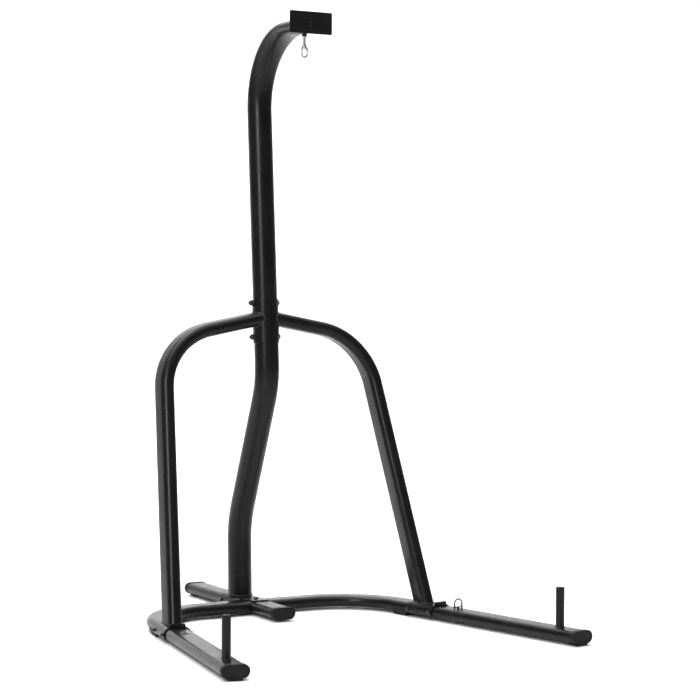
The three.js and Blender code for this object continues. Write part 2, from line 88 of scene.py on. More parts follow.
# ---- materials --------------------------------------------------------------------------------
class Nodes:
    """A material with a Principled shader and short helpers for its node tree."""

    def __init__(self, name):
        self.mat = bpy.data.materials.new(name)
        self.mat.use_nodes = True
        self.tree = self.mat.node_tree
        self.shader = self.tree.nodes["Principled BSDF"]
        self.place = self.add("ShaderNodeTexCoord").outputs["Object"]

    def add(self, kind):
        return self.tree.nodes.new(kind)

    def link(self, a, b):
        self.tree.links.new(a, b)

    def noise(self, scale, detail=3.0, rough=0.5, stretch=None):
        node = self.add("ShaderNodeTexNoise")
        node.inputs["Scale"].default_value = scale
        node.inputs["Detail"].default_value = detail
        node.inputs["Roughness"].default_value = rough
        source = self.place
        if stretch:
            mapping = self.add("ShaderNodeMapping")
            mapping.inputs["Scale"].default_value = stretch
            self.link(self.place, mapping.inputs["Vector"])
            source = mapping.outputs["Vector"]
        self.link(source, node.inputs["Vector"])
        return node.outputs["Fac"]

    def ramp(self, value, stops):
        node = self.add("ShaderNodeValToRGB")
        ramp = node.color_ramp
        while len(ramp.elements) < len(stops):
            ramp.elements.new(0.5)
        for element, (at, colour) in zip(ramp.elements, stops):
            element.position = at
            element.color = (*colour, 1)
        self.link(value, node.inputs["Fac"])
        return node.outputs["Color"]

    def span(self, value, low, high):
        node = self.add("ShaderNodeMapRange")
        node.inputs["From Min"].default_value = 0.3
        node.inputs["From Max"].default_value = 0.7
        node.inputs["To Min"].default_value = low
        node.inputs["To Max"].default_value = high
        self.link(value, node.inputs["Value"])
        return node.outputs["Result"]

    def bump(self, height, distance, strength=1.0, below=None):
        node = self.add("ShaderNodeBump")
        node.inputs["Strength"].default_value = strength
        node.inputs["Distance"].default_value = distance
        self.link(height, node.inputs["Height"])
        if below:
            self.link(below, node.inputs["Normal"])
        return node.outputs["Normal"]


def powder_coat(name, low, high, rough):
    """Satin black powder coat: orange peel, fine grain, faint clouding and slightly uneven gloss."""
    m = Nodes(name)
    cloud = m.noise(7, 4, 0.6)
    m.link(m.ramp(cloud, [(0.3, low), (0.75, high)]), m.shader.inputs["Base Color"])
    m.link(m.span(m.noise(38, 5, 0.65), rough - 0.05, rough + 0.07), m.shader.inputs["Roughness"])
    peel = m.bump(m.noise(420, 2, 0.5), 0.00018, 0.35)
    grain = m.bump(m.noise(2600, 2, 0.6), 0.00004, 0.4, peel)
    m.link(grain, m.shader.inputs["Normal"])
    m.shader.inputs["Specular IOR Level"].default_value = 0.2
    return m.mat


def moulded_plastic(name):
    """Black moulded plastic with a fine spark-eroded grain and scuffs of a duller tone."""
    m = Nodes(name)
    scuff = m.noise(60, 6, 0.7)
    m.link(m.ramp(scuff, [(0.35, (0.003, 0.003, 0.0032)), (0.8, (0.009, 0.009, 0.0095))]),
           m.shader.inputs["Base Color"])
    m.link(m.span(m.noise(25, 4, 0.6), 0.5, 0.66), m.shader.inputs["Roughness"])
    m.link(m.bump(m.noise(1500, 3, 0.7), 0.00012, 0.5), m.shader.inputs["Normal"])
    m.shader.inputs["Specular IOR Level"].default_value = 0.22
    return m.mat


def plated_steel(name, low, high, rough, metallic):
    """Plated steel: drawn along the part, with cloudy colour, fine lines and uneven gloss."""
    m = Nodes(name)
    m.link(m.ramp(m.noise(140, 4, 0.6), [(0.3, low), (0.7, high)]), m.shader.inputs["Base Color"])
    m.link(m.span(m.noise(320, 4, 0.6), rough - 0.06, rough + 0.1), m.shader.inputs["Roughness"])
    lines = m.noise(900, 3, 0.6, (1, 1, 0.08))
    m.link(m.bump(lines, 0.00005, 0.5), m.shader.inputs["Normal"])
    m.shader.inputs["Metallic"].default_value = metallic
    return m.mat


def weld_metal(name):
    """Powder coat over a weld bead: the same black, a little rougher and lumpier."""
    m = Nodes(name)
    m.link(m.ramp(m.noise(80, 3, 0.5), [(0.3, (0.005, 0.005, 0.0055)), (0.8, (0.014, 0.014, 0.015))]),
           m.shader.inputs["Base Color"])
    m.link(m.span(m.noise(200, 3, 0.5), 0.34, 0.48), m.shader.inputs["Roughness"])
    m.link(m.bump(m.noise(700, 3, 0.6), 0.0003, 0.5), m.shader.inputs["Normal"])
    return m.mat


COAT = powder_coat("black_powder_coat", (0.003, 0.003, 0.0034), (0.007, 0.007, 0.0078), 0.30)
PLATE_COAT = powder_coat("black_plate_coat", (0.004, 0.004, 0.0044), (0.008, 0.008, 0.0086), 0.38)
PLASTIC = moulded_plastic("black_plastic")
ZINC = plated_steel("zinc_plated_steel", (0.24, 0.245, 0.26), (0.46, 0.465, 0.48), 0.28, 1.0)
OXIDE = plated_steel("black_oxide_steel", (0.03, 0.03, 0.033), (0.07, 0.07, 0.075), 0.36, 0.7)
WELD = weld_metal("coated_weld")


# ---- mesh building ----------------------------------------------------------------------------
class Shape:
    """Vertices and faces in millimetres, gathered from skins, and made into one object."""

    def __init__(self):
        self.points, self.faces = [], []

    def skin(self, rings, closed=False):
        """Quads between rings of equal length, with end faces unless the rings close on themselves."""
        start, n, count = len(self.points), len(rings[0]), len(rings)
        for ring in rings:
            self.points.extend(Vector(p) for p in ring)
        for i in range(count if closed else count - 1):
            a, b = start + i * n, start + ((i + 1) % count) * n
            for k in range(n):
                j = (k + 1) % n
                self.faces.append((a + k, a + j, b + j, b + k))
        if not closed:
            self.faces.append(tuple(start + k for k in reversed(range(n))))
            self.faces.append(tuple(start + (count - 1) * n + k for k in range(n)))
        return self

    def lathe(self, profile, origin, axis, count=48):
        """Revolves (radius, height) pairs about axis."""
        axis = axis.normalized()
        u = (X if abs(axis.x) < 0.9 else Y).cross(axis).normalized()
        v = axis.cross(u)
        rings = [[origin + axis * h + (u * math.cos(t) + v * math.sin(t)) * r
                  for t in (2 * math.pi * k / count for k in range(count))] for r, h in profile]
        return self.skin(rings)

    def hexagon(self, flats, low, high, origin, axis, chamfer=(False, True), count=60):
        """A hexagon head or nut from low to high along axis, its corners turned down at the marked ends."""
        axis = axis.normalized()
        u = (X if abs(axis.x) < 0.9 else Z).cross(axis).normalized()
        v = axis.cross(u)
        circle = flats * 0.5

        def ring(height, sign, full):
            out = []
            for k in range(count):
                t = 2 * math.pi * k / count
                corner = flats / 2 / math.cos((t + math.pi / 6) % (math.pi / 3) - math.pi / 6)
                drop = (corner - circle) * 0.58 if full else 0
                r = corner if full else min(corner, circle * 0.985)
                out.append(origin + axis * (height - sign * drop) + (u * math.cos(t) + v * math.sin(t)) * r)
            return out

        rings = [ring(low, 0, True)] if not chamfer[0] else [ring(low, -1, False), ring(low, -1, True)]
        rings += [ring(high, 1, True), ring(high, 1, False)] if chamfer[1] else [ring(high, 0, True)]
        return self.skin(rings)

    def prism(self, outline, start, end, across, up=Z):
        """A flat outline of (across, up) pairs pushed from start to end."""
        return self.skin([[p + across * a + up * b for a, b in outline] for p in (start, end)])

    def bead(self, path, radius, ripple, count=10):
        """A closed round bead along points, its radius rippled like a run of weld."""
        n, rings, side = len(path), [], None
        for i, p in enumerate(path):
            t = (path[(i + 1) % n] - path[i - 1]).normalized()
            side = t.orthogonal() if side is None else side - t * side.dot(t)
            side.normalize()
            other = t.cross(side)
            r = radius * (1 + ripple * math.sin(i * 2.1) + ripple * 0.5 * math.sin(i * 0.83 + 1))
            rings.append([p + (side * math.cos(a) + other * math.sin(a)) * r
                          for a in (2 * math.pi * k / count for k in range(count))])
        self.close(rings)
        return self

    def close(self, rings):
        """Joins the last ring to the first, turned so that the seam has no twist."""
        first, last = rings[0], rings[-1]
        n = len(first)
        turn = min(range(n), key=lambda s: sum((first[k] - last[(k + s) % n]).length for k in range(n)))
        start, count = len(self.points), len(rings)
        for ring in rings:
            self.points.extend(ring)
        for i in range(count):
            a, b = start + i * n, start + ((i + 1) % count) * n
            shift = turn if i == count - 1 else 0
            for k in range(n):
                j = (k + 1) % n
                self.faces.append((a + (k + shift) % n, a + (j + shift) % n, b + j, b + k))

    def mirrored(self):
        other = Shape()
        other.points = [flip(p) for p in self.points]
        other.faces = [tuple(reversed(f)) for f in self.faces]
        return other


def piece(name, shape, material, nodes=(), body="stand", bevel=0.0, smooth=38):
    """Makes the shape an object in metres that rides on a body and stands for CAD nodes."""
    mesh = bpy.data.meshes.new(name)
    metres = [(p.x / 1000, (p.y + Y_SHIFT) / 1000, p.z / 1000) for p in shape.points]
    mesh.from_pydata(metres, [], shape.faces)
    mesh.validate()
    mesh.polygons.foreach_set("use_smooth", [True] * len(mesh.polygons))
    mesh.set_sharp_from_angle(angle=math.radians(smooth))
    mesh.materials.append(material)
    obj = bpy.data.objects.new(name, mesh)
    bpy.context.scene.collection.objects.link(obj)
    normals_out(mesh)
    if bevel:
        soften(obj, bevel)
    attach(obj, body)
    if nodes:
        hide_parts(*([nodes] if isinstance(nodes, str) else nodes))
    return obj


def normals_out(mesh):
    """Turns every face of a closed mesh outwards."""
    bm = bmesh.new()
    bm.from_mesh(mesh)
    bmesh.ops.recalc_face_normals(bm, faces=bm.faces)
    bm.to_mesh(mesh)
    bm.free()


def soften(obj, width, segments=3):
    """Rounded edges for what is stamped, moulded or cut."""
    bevel = obj.modifiers.new("rounded_edges", "BEVEL")
    bevel.width = width / 1000
    bevel.segments = segments
    bevel.limit_method = "ANGLE"
    bevel.angle_limit = math.radians(40)
    bevel.harden_normals = True


def pair(name, shape, material, node=None, **options):
    """The shape on the +X side and its mirror image, each standing for its own CAD node."""
    for side, made in (("right", shape), ("left", shape.mirrored())):
        nodes = f"{side}_{node}" if node else ()
        piece(f"{side}_{name}", made, material, nodes, **options)


def round_section(r, count=64):
    turns = [2 * math.pi * k / count for k in range(count)]
    return [(r * math.cos(t), r * math.sin(t)) for t in turns]


def oval_section(a, b, arc=18):
    """Flat oval with half sizes a and b; round ends on the longer axis."""
    d, r = abs(a - b), min(a, b)
    out = []
    for side in (0, 1):
        for k in range(arc + 1):
            t = math.pi * (k / arc + side)
            c, s = r * math.cos(t), r * math.sin(t)
            shift = d if side == 0 else -d
            out.append((c, s + shift) if a < b else (s + shift, -c))
    return out


def route(corners, radii, step=2.5):
    """Points, directions and share of the last bend turned, along corners rounded with their radii."""
    stations = [(corners[0], (corners[1] - corners[0]).normalized(), 0.0)]
    for i in range(1, len(corners) - 1):
        d = (corners[i] - corners[i - 1]).normalized()
        e = (corners[i + 1] - corners[i]).normalized()
        turn = d.angle(e)
        reach = radii[i - 1] * math.tan(turn / 2)
        inward = (e - d * e.dot(d)).normalized()
        start = corners[i] - d * reach
        n = max(2, math.ceil(math.degrees(turn) / step))
        for k in range(n + 1):
            a = turn * k / n
            point = start + (d * math.sin(a) + inward * (1 - math.cos(a))) * radii[i - 1]
            stations.append((point, d * math.cos(a) + inward * math.sin(a), k / n))
    stations.append((corners[-1], stations[-1][1], stations[-1][2]))
    return stations


def swept(stations, section, wide, swell=lambda t: (1, 1)):
    """Rings of the section along the stations; its first axis stays as near as it can to wide."""
    rings = []
    for point, t, share in stations:
        n = (wide - t * wide.dot(t)).normalized()
        b = t.cross(n)
        sn, sb = swell(share)
        rings.append([point + n * (p * sn) + b * (q * sb) for p, q in section])
    return rings


def eased_ends(stations, section_of, wide, ease=0.6, swell=lambda t: (1, 1)):
    """A solid tube whose two end edges are rounded by ease."""
    (p0, t0, s0), (p1, t1, s1) = stations[0], stations[-1]
    inner = [(p0 + t0 * ease, t0, s0)] + stations[1:-1] + [(p1 - t1 * ease, t1, s1)]
    first = swept([(p0, t0, s0)], section_of(ease), wide, swell)
    last = swept([(p1, t1, s1)], section_of(ease), wide, swell)
    return Shape().skin(first + swept(inner, section_of(0), wide, swell) + last)


def base_section(inset=0.0):
    return oval_section(BASE_HALF[0] - inset, BASE_HALF[1] - inset)


def upright_base_section(inset=0.0):
    """The same oval with its short axis first, for a tube that is steered by the vertical."""
    return oval_section(BASE_HALF[1] - inset, BASE_HALF[0] - inset)


# ---- posts ------------------------------------------------------------------------------------
def neck_swell(t):
    k = t ** 1.5
    return 1 + (FLAT_X - 1) * k, 1 + (FLAT_Z - 1) * k


def post_section(inset=0.0):
    return round_section(POST_R - inset)


def make_posts():
    neck_end = Vector((0, NECK_END_Y, NECK_Z))
    neck = route([on_post(JOINT_Z + GAP), on_post(NECK_Z), neck_end], [NECK_BEND], 1.5)
    piece("upper_post_tube", eased_ends(neck, post_section, X, 0.8, neck_swell), COAT, "upper_post")
    foot = Vector((0, POST_FOOT_Y, SEAT_Z))
    lower = route([on_post(JOINT_Z - GAP), on_post(S_BEND_TOP_Z), Vector(S_BEND), foot], S_RADII, 1.5)
    piece("lower_post_tube", eased_ends(lower, post_section, X, 0.8), COAT, "lower_post")
    ring = [foot + Vector((a, b, -0.2)) for a, b in round_section(POST_R + 1, 150)]
    piece("post_foot_weld", Shape().bead(ring, 2.3, 0.13), WELD)


def make_saddles():
    outer, inner = SADDLE_R, SADDLE_R - SADDLE_T
    back = AXIS.cross(X)
    low, high = (on_post(z) for z in SADDLE_Z)
    outline = []
    for r in (outer, inner):
        limit = math.acos(SLIT / r)
        turns = [limit * (2 * k / 36 - 1) for k in range(37)]
        arc = [(r * math.cos(t), r * math.sin(t)) for t in (turns if r == outer else reversed(turns))]
        outline += arc
    shape = Shape().prism(outline, low, high, X, back)
    pair("clamp_saddle", shape, COAT, "saddle", bevel=0.8)


# ---- side tubes ---------------------------------------------------------------------------------
def cope(point, direction, radius):
    """Where a line from inside the post's axis leaves a cylinder of this radius about that axis."""
    o = point - on_post(HUB_Z)
    d, o = direction - AXIS * direction.dot(AXIS), o - AXIS * o.dot(AXIS)
    a, b, c = d.dot(d), 2 * d.dot(o), o.dot(o) - radius * radius
    root = b * b - 4 * a * c
    t = (-b + math.sqrt(root)) / (2 * a) if root > 0 else 0
    return point + direction * max(t, (SLIT - point.x) / direction.x)


def make_side_tubes():
    corner = Vector((ARM_CORNER[0], ARM_Y, ARM_CORNER[1]))
    foot = Vector((FOOT_X, FOOT_Y, SEAT_Z - 60))
    stations = route([Vector((0, ARM_Y, ARM_Z)), corner, foot], [ARM_BEND], 1.5)
    rings = swept(stations, oval_section(*ARM_HALF, 22), Y)
    direction = stations[0][1]
    rings[0] = [cope(p, direction, SADDLE_R + GAP) for p in rings[0]]
    down = stations[-1][1]
    rings[-1] = [p + down * ((SEAT_Z - p.z) / down.z) for p in rings[-1]]
    rings.insert(-1, [p - down * 0.8 for p in rings[-1]])
    rings[-1] = [p + (foot_middle(rings[-1]) - p).normalized() * 0.8 for p in rings[-1]]
    pair("side_tube_bent", Shape().skin(rings), COAT, "side_tube")
    hub = [p + direction * 0.6 for p in denser([cope(p, direction, SADDLE_R + GAP) for p in rings[0]], 3)]
    pair("hub_weld", Shape().bead(hub, 2.2, 0.13), WELD)
    seat = [p + (p - foot_middle(rings[-2])).normalized() * 0.8 for p in rings[-2]]
    seat = [Vector((p.x, p.y, SEAT_Z - 0.2)) for p in denser(seat, 3)]
    pair("side_foot_weld", Shape().bead(seat, 2.3, 0.13), WELD)


def foot_middle(ring):
    return sum(ring, Vector()) / len(ring)


def denser(loop, times):
    """The same closed loop with more points on each side, evenly spaced."""
    total = [0.0]
    closed = loop + [loop[0]]
    for a, b in zip(closed, closed[1:]):
        total.append(total[-1] + (b - a).length)
    count = int(total[-1] / times)
    out, j = [], 0
    for k in range(count):
        s = total[-1] * k / count
        while total[j + 1] < s:
            j += 1
        span = total[j + 1] - total[j] or 1
        out.append(closed[j].lerp(closed[j + 1], (s - total[j]) / span))
    return out


# ---- floor frame --------------------------------------------------------------------------------
def channel(low, thick):
    """Outline of a channel that straddles a floor tube, down to height low."""
    out = []
    for extra, back in ((GAP + thick, False), (GAP, True)):
        a, b = BASE_HALF[0] + extra, BASE_HALF[1] + extra
        d, limit = a - b, math.asin(max(-1, (low - BASE_Z) / b))
        arc = [(d + b * math.cos(t), b * math.sin(t))
               for t in (limit + (math.pi / 2 - limit) * k / 16 for k in range(17))]
        arc += [(-x, z) for x, z in reversed(arc)]
        out += reversed(arc) if back else arc
    return out


def make_base():
    pair("leg_tube", eased_ends([(FOOT + LEG_DIR * GAP, LEG_DIR, 0), (LEG_END, LEG_DIR, 0)],
                                base_section, LEG_ACROSS), COAT, "base_leg")
    lean = LEG_DIR.x / -LEG_DIR.y
    corner_x = FOOT_X - lean * (ARC_Y - FOOT_Y)
    corners = [FOOT, Vector((corner_x, ARC_Y, BASE_Z)), Vector((-corner_x, ARC_Y, BASE_Z)), flip(FOOT)]
    arc = route(corners, [ARC_BEND, ARC_BEND], 1.5)
    piece("rear_arc_tube", eased_ends(arc, upright_base_section, Z), COAT, "base_arc")
    crossing = Vector((0, ARC_Y, BASE_Z))
    for name, node, end in (("front_stub_tube", "front_foot_stub", STUB_FRONT),
                            ("rear_bar_tube", "rear_foot_bar", BAR_REAR)):
        t = Y if end > 0 else -Y
        start = crossing + t * (BASE_HALF[0] + GAP)
        rings = swept([(start, t, 0), (Vector((0, end, BASE_Z)), t, 0)], base_section(), X)
        rings[0] = [Vector((p.x, ARC_Y, p.z)) + t * notch(p.z) for p in rings[0]]
        piece(name, Shape().skin(rings), COAT, node)


def notch(z):
    """Distance from the arc's middle to its surface at height z, where a tube is cut to meet it."""
    a, b = BASE_HALF
    rise = min(abs(z - BASE_Z), b - 0.01)
    return a - b + math.sqrt((b + GAP) ** 2 - rise ** 2) + GAP


def make_brackets():
    low = BASE_TOP - BRACKET_DROP
    reach = LEG_DIR * BRACKET_HALF
    shape = Shape().prism(channel(low, BRACKET_T), FOOT - reach, FOOT + reach, LEG_ACROSS)
    pair("leg_bracket", shape, COAT, "foot_bracket", bevel=1.0)
    top = BASE_TOP + GAP + BRACKET_T - BASE_Z
    lip = [(-LIP_HALF, top - 2), (-LIP_HALF, top + BRACKET_LIP - 5), (5 - LIP_HALF, top + BRACKET_LIP),
           (LIP_HALF - 5, top + BRACKET_LIP), (LIP_HALF, top + BRACKET_LIP - 5), (LIP_HALF, top - 2)]
    end = FOOT + LEG_DIR * BRACKET_HALF
    pair("bracket_lip", Shape().prism(lip, end - LEG_DIR * 3, end, LEG_ACROSS), COAT, bevel=0.8)
    behind = ARC_Y + BASE_HALF[0] + GAP + 4
    post = Shape().prism(channel(low, BRACKET_T), Vector((0, behind, BASE_Z)),
                         Vector((0, POST_FOOT_Y + 75, BASE_Z)), X)
    piece("post_bracket", post, COAT, "post_foot_bracket", bevel=1.0)
    z0, z1 = BASE_TOP + GAP - BASE_Z, BASE_TOP + GAP + BRACKET_T - BASE_Z
    tongue = [(-30, z0), (30, z0), (30, z1), (-30, z1)]
    piece("post_bracket_tongue", Shape().prism(tongue, Vector((0, ARC_Y - 40, BASE_Z)),
                                               Vector((0, behind + 1, BASE_Z)), X), COAT, bevel=1.0)


def end_boot(end, direction, across):
    """Moulded boot over a tube end: rounded rim and sunk face."""
    def ring(d, inset):
        a, b = (h + GAP + CAP_T - inset for h in BASE_HALF)
        return [end + direction * d + across * p + Z * q for p, q in oval_section(a, b, 24)]

    rim = [(-CAP_SLEEVE, CAP_T), (-CAP_SLEEVE, 0.5), (-CAP_SLEEVE + 0.5, 0), (CAP_END - 2.2, 0)]
    rim += [(CAP_END - 2.2 + 2.2 * math.sin(t), 2.2 * (1 - math.cos(t)))
            for t in (math.pi / 2 * k / 6 for k in range(1, 7))]
    rim += [(CAP_END, 5.5), (CAP_END - 0.8, 6.5), (CAP_END - 0.8, 9)]
    return Shape().skin([ring(d, i) for d, i in rim])


def make_caps():
    top = BASE_BOTTOM + 6 - BASE_Z
    pad = [(-PAD_TOP, top), (-PAD_BOTTOM, -BASE_Z), (PAD_BOTTOM, -BASE_Z), (PAD_TOP, top)]
    front, rear = Vector((0, STUB_FRONT, BASE_Z)), Vector((0, BAR_REAR, BASE_Z))
    pair("leg_boot", end_boot(LEG_END, LEG_DIR, LEG_ACROSS), PLASTIC, "leg_end_cap")
    leg_pad = Shape().prism(pad, LEG_END - LEG_DIR * PAD_LENGTH, LEG_END + LEG_DIR * CAP_END, LEG_ACROSS)
    pair("leg_boot_foot", leg_pad, PLASTIC, bevel=1.6)
    piece("stub_boot", end_boot(front, -Y, X), PLASTIC, "front_stub_end_cap")
    piece("bar_boot", end_boot(rear, Y, X), PLASTIC, "rear_bar_end_cap")
    rear_pad = Shape().prism(pad, rear - Y * PAD_LENGTH, rear + Y * CAP_END, X)
    piece("bar_boot_foot", rear_pad, PLASTIC, bevel=1.6)


# ---- hanger -------------------------------------------------------------------------------------
def make_plate():
    w, low, high, c = PLATE_W / 2, PLATE_TOP - PLATE_H, PLATE_TOP, 4
    corners = [(w - c, low + c, -90), (w - c, high - c, 0), (-w + c, high - c, 90), (-w + c, low + c, 180)]
    outline = []
    for cx, cz, start in corners:
        for k in range(9):
            t = math.radians(start + 90 * k / 8)
            outline.append((cx + c * math.cos(t), cz + c * math.sin(t)))
    back = Vector((0, NECK_END_Y - GAP, 0))
    plate = Shape().prism(outline, back - Y * PLATE_T, back, X)
    piece("end_plate", plate, PLATE_COAT, "hanger_plate", bevel=0.9)
    a, b = POST_R * FLAT_X, POST_R * FLAT_Z
    ring = [Vector((a * math.cos(t), NECK_END_Y - 0.2, NECK_Z + b * math.sin(t)))
            for t in (2 * math.pi * k / 170 for k in range(170))]
    piece("plate_weld", Shape().bead(ring, 2.2, 0.13), WELD)
    dots = Shape()
    for x, z in ((0, NECK_Z + 6), (0, NECK_Z - 6)):
        dots.lathe([(2.4, 0), (2.4, 0.15), (2.0, 0.4), (0.8, 0.5)],
                   Vector((x, NECK_END_Y - GAP - PLATE_T, z)), -Y, 24)
    piece("plate_plugs", dots, OXIDE)


def hung(x, z, y=0):
    return Vector((x, HOOK_Y + y, z))


def threads(low, high, r, pitch=1.5):
    """Profile of a threaded rod."""
    turns = int((high - low) / pitch)
    return [(r - (0.45 if k % 2 else 0), low + k * pitch / 2) for k in range(2 * turns + 1)]


def make_hanger():
    under, over = NECK_Z - POST_R * FLAT_Z - GAP, NECK_Z + POST_R * FLAT_Z + GAP
    collar_high = HOOK_TOP + HOOK_WIRE + 5
    stem = Shape().lathe([(4.4, collar_high + GAP)] + threads(collar_high + 1, over + 2, 5)
                         + [(5, over + 3.4)], hung(0, 0), Z, 32)
    stem.hexagon(LARGE_HEX, over + 3, over + 9.5, hung(0, 0), Z)
    stem.lathe([(3.2, HOOK_TOP + HOOK_WIRE + GAP), (3.2, collar_high + 1)], hung(0, 0), Z, 32)
    piece("swivel_stem", stem, ZINC, "hanger_stem")
    for name, low in (("hanger_upper_washer", over), ("hanger_lower_washer", under - 2.5)):
        ring = [(5.3, low), (10.1, low), (10.5, low + 0.4), (10.5, low + 2.1), (10.1, low + 2.5),
                (5.3, low + 2.5)]
        piece(name + "_turned", washer(ring, hung(0, 0), Z), OXIDE, name)
    nut = Shape().hexagon(LARGE_HEX, under - 12, under - 2.8, hung(0, 0), Z, (True, True))
    piece("lock_nut", nut, OXIDE, "hanger_lock_nut")


def washer(profile, origin, axis):
    """A ring turned about axis from a closed (radius, height) profile."""
    axis = axis.normalized()
    u = (X if abs(axis.x) < 0.9 else Y).cross(axis).normalized()
    v, rings = axis.cross(u), []
    for k in range(64):
        t = 2 * math.pi * k / 64
        out = u * math.cos(t) + v * math.sin(t)
        rings.append([origin + axis * h + out * r for r, h in profile])
    return Shape().skin(rings, closed=True)


def make_snap_hook():
    shoulder = HOOK_PIN_Z - 2.5
    body = route([hung(HOOK_HALF, shoulder), hung(HOOK_HALF, HOOK_TOP), hung(-HOOK_HALF, HOOK_TOP),
                  hung(-HOOK_HALF, HOOK_BOTTOM), hung(HOOK_HALF, HOOK_BOTTOM), hung(HOOK_HALF, HOOK_NOSE)],
                 [5, 5, 9.5, 9.5], 6)
    # the hinge end stays flat, the nose is turned to a dome
    section = round_section(HOOK_WIRE, 32)
    rings = swept(body[:-1], section, Y)
    tip, up = body[-2][0], Z
    for k in range(1, 7):
        a = math.pi / 2 * k / 7
        rings += swept([(tip + up * (HOOK_NOSE - tip.z) * math.sin(a), up, 0)],
                       round_section(HOOK_WIRE * math.cos(a) ** 0.6, 32), Y)
    shape = Shape().skin(rings)
    collar_low, collar_high = HOOK_TOP - HOOK_WIRE - 1, HOOK_TOP + HOOK_WIRE + 5
    profile = [(3.5, collar_low), (6.2, collar_low), (7, collar_low + 0.8), (7, collar_high - 1.6),
               (6.6, collar_high - 0.8), (5.4, collar_high), (3.5, collar_high)]
    ring = washer(profile, hung(0, 0), Z)
    start = len(shape.points)
    shape.points += ring.points
    shape.faces += [tuple(i + start for i in f) for f in ring.faces]
    piece("hook_bow", shape, ZINC, "snap_hook_body", body="snap_hook")
    gate = Shape().lathe([(1.6, HOOK_NOSE + 0.5), (2.3, HOOK_NOSE + 0.7), (2.6, HOOK_NOSE + 1.2),
                          (2.6, shoulder - 3.2), (2.3, shoulder - 2.6), (1.7, shoulder - 2.4)],
                         hung(HOOK_HALF, 0), Z, 32)
    gate.prism([(-1.6, HOOK_NOSE + 5), (1.6, HOOK_NOSE + 5), (1.6, HOOK_PIN_Z), (-1.6, HOOK_PIN_Z)],
               hung(HOOK_HALF, 0, -1), hung(HOOK_HALF, 0, 1), X)
    gate.lathe([(1.7, -1), (2.1, -0.8), (2.1, 0.8), (1.7, 1)], hung(HOOK_HALF, HOOK_PIN_Z), Y, 32)
    piece("hook_gate", gate, ZINC, "snap_gate", body="snap_gate")
    pin = Shape().lathe([(0.7, -3.9), (1.4, -3.7), (1.6, -3.3), (1.2, -3.1), (1.2, 3.1), (1.6, 3.3),
                         (1.4, 3.7),
                         (0.7, 3.9)], hung(HOOK_HALF, HOOK_PIN_Z), Y, 24)
    piece("hook_gate_pin", pin, ZINC, "snap_gate_pin", body="snap_hook")


# ---- fasteners ----------------------------------------------------------------------------------
def make_saddle_bolts():
    seat = SADDLE_R + 1
    for place, z in (("lower", SADDLE_Z[0] + 21), ("upper", SADDLE_Z[1] - 11.5)):
        at = on_post(z)
        bolt = Shape().lathe([(5, -seat - 12), (5, seat + 1)], at, X, 32)
        bolt.hexagon(LARGE_HEX, seat, seat + 6, at, X)
        piece(f"{place}_clamp_bolt", bolt, OXIDE, f"{place}_saddle_bolt")
        ring = [(5.3, -seat - 2.2), (10.1, -seat - 2.2), (10.5, -seat - 1.8), (10.5, -seat - 0.4),
                (10.1, -seat), (5.3, -seat)]
        piece(f"{place}_clamp_washer", washer(ring, at, X), OXIDE, f"{place}_saddle_washer")
        cap = Shape().hexagon(LARGE_HEX, seat + 2.5, seat + 11, at, -X, (True, True))
        dome = [(7.4, seat + 10.4), (7.3, seat + 12.5)]
        dome += [(7.3 * math.cos(a), seat + 12.5 + 5.5 * math.sin(a))
                 for a in (math.pi / 2 * k / 9 for k in range(1, 9))]
        cap.lathe(dome, at, -X, 40)
        piece(f"{place}_cap_nut", cap, OXIDE, f"{place}_saddle_cap_nut")


def side_fastener(at, direction):
    """Hexagon bolt with a flanged head across a floor tube, and its nut."""
    bolt = Shape().lathe([(3.6, SIDE_SEAT - 1), (4, SIDE_SEAT), (4, SIDE_SEAT + 8), (3.4, SIDE_SEAT + 8.5)],
                         at, direction, 24)
    bolt.lathe([(8, SIDE_SEAT - 0.1), (8.4, SIDE_SEAT + 0.3), (8.2, SIDE_SEAT + 0.9), (6, SIDE_SEAT + 1.4)],
               at, -direction, 40)
    bolt.hexagon(SMALL_HEX, SIDE_SEAT + 0.8, SIDE_SEAT + 5.5, at, -direction)
    nut = Shape().hexagon(SMALL_HEX, SIDE_SEAT, SIDE_SEAT + 6.5, at, direction, (True, True))
    return bolt, nut


def make_fasteners():
    for place, d in (("rear", -BOLT_OFF), ("front", BOLT_OFF)):
        bolt, nut = side_fastener(FOOT + LEG_DIR * d, LEG_ACROSS)
        pair(f"{place}_leg_bolt", bolt, OXIDE, f"{place}_bracket_bolt")
        pair(f"{place}_leg_nut", nut, OXIDE, f"{place}_bracket_nut")
    bolt, nut = side_fastener(Vector((0, POST_FOOT_Y + 58, BASE_Z)), X)
    piece("post_rear_bolt", bolt, OXIDE, "post_foot_rear_bolt")
    piece("post_rear_nut", nut, OXIDE, "post_foot_rear_nut")
    crossing = Vector((0, ARC_Y, 0))
    top = Shape().hexagon(SMALL_HEX, SEAT_Z, SEAT_Z + 5.5, crossing, Z)
    top.lathe([(4, 1.2), (4, SEAT_Z + 1)], crossing, Z, 24)
    piece("post_front_bolt", top, OXIDE, "post_foot_front_bolt")
    under = BASE_BOTTOM - GAP
    piece("post_front_nut", Shape().hexagon(SMALL_HEX, under - 6.5, under, crossing, Z, (True, False)), OXIDE,
          "post_foot_front_nut")


